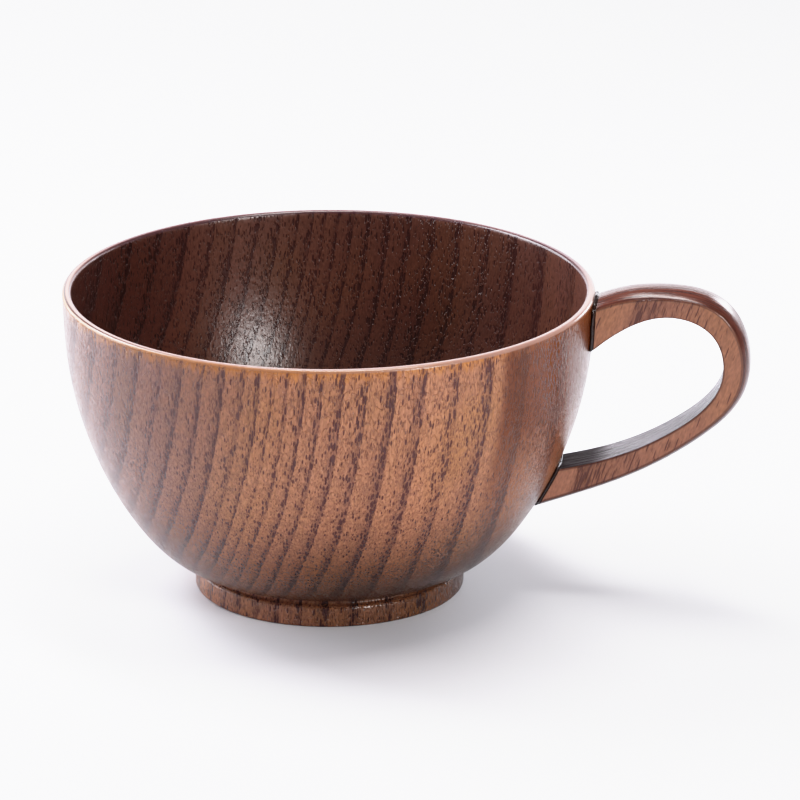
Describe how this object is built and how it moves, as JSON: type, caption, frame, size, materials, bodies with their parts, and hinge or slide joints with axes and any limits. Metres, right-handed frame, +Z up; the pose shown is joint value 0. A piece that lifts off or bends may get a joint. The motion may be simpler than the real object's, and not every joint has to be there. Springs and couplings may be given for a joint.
{
  "type": "wooden cup",
  "caption": "Turned wooden cup with a rounded bowl, a low foot ring and a flat ear-shaped strap handle glued to its wall.",
  "frame": {"origin": "centre of the foot ring's underside, on the bowl's turning axis", "axes": "+Z up along the turning axis, +X from the axis towards the handle, +Y square to the handle's plane"},
  "size_m": [0.1448, 0.112, 0.0683],
  "materials": {
    "bowl_wood": "ring-porous wood, red-brown stain under a glossy clear lacquer",
    "handle_wood": "same wood, sawn, with the fibres across the strap's upper and lower arms",
    "glue": "dark set glue, wet-looking"
  },
  "bodies": {
    "root": {"bowl": "bowl_wood", "handle": "handle_wood", "upper_glue_bead": "glue", "lower_glue_bead": "glue"}
  },
  "joints": []
}
